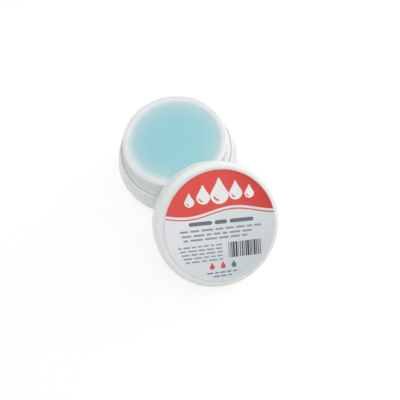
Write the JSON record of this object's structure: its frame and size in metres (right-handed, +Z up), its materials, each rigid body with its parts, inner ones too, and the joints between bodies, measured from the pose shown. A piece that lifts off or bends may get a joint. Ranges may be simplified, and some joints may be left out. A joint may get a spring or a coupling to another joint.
{
  "type": "finger moistener",
  "caption": "Open round double-wall jar of moistening gel, with its screw lid leaning on the rim, for wetting the fingertips.",
  "frame": {"origin": "on the table under the middle of the jar, in the plane of its standing ring", "axes": "+Z up along the jar's axis, and the lid leans towards -Y, with its axis in the plane X = 0"},
  "size_m": [0.0562, 0.0929, 0.0378],
  "materials": {
    "jar_plastic": "satin",
    "lid_plastic": "satin",
    "gel": "gloss",
    "liner_foam": "matte",
    "label_paper": "satin"
  },
  "bodies": {
    "jar": {"outer_base": "jar_plastic", "inner_jar": "jar_plastic", "gel": "gel"},
    "liner": {"sealing_liner": "liner_foam"},
    "lid": {"lid_shell": "lid_plastic", "lid_label": "label_paper"}
  },
  "joints": [
    {"name": "lid_lift", "type": "slide", "parent": "jar", "child": "liner", "axis": [0, -0.5651, 0.825], "range_m": [0, 0.03]},
    {"name": "lid_turn", "type": "hinge", "parent": "liner", "child": "lid", "pos_m": [0, -0.0378, 0.01454], "axis": [0, -0.5651, 0.825], "continuous": true}
  ]
}
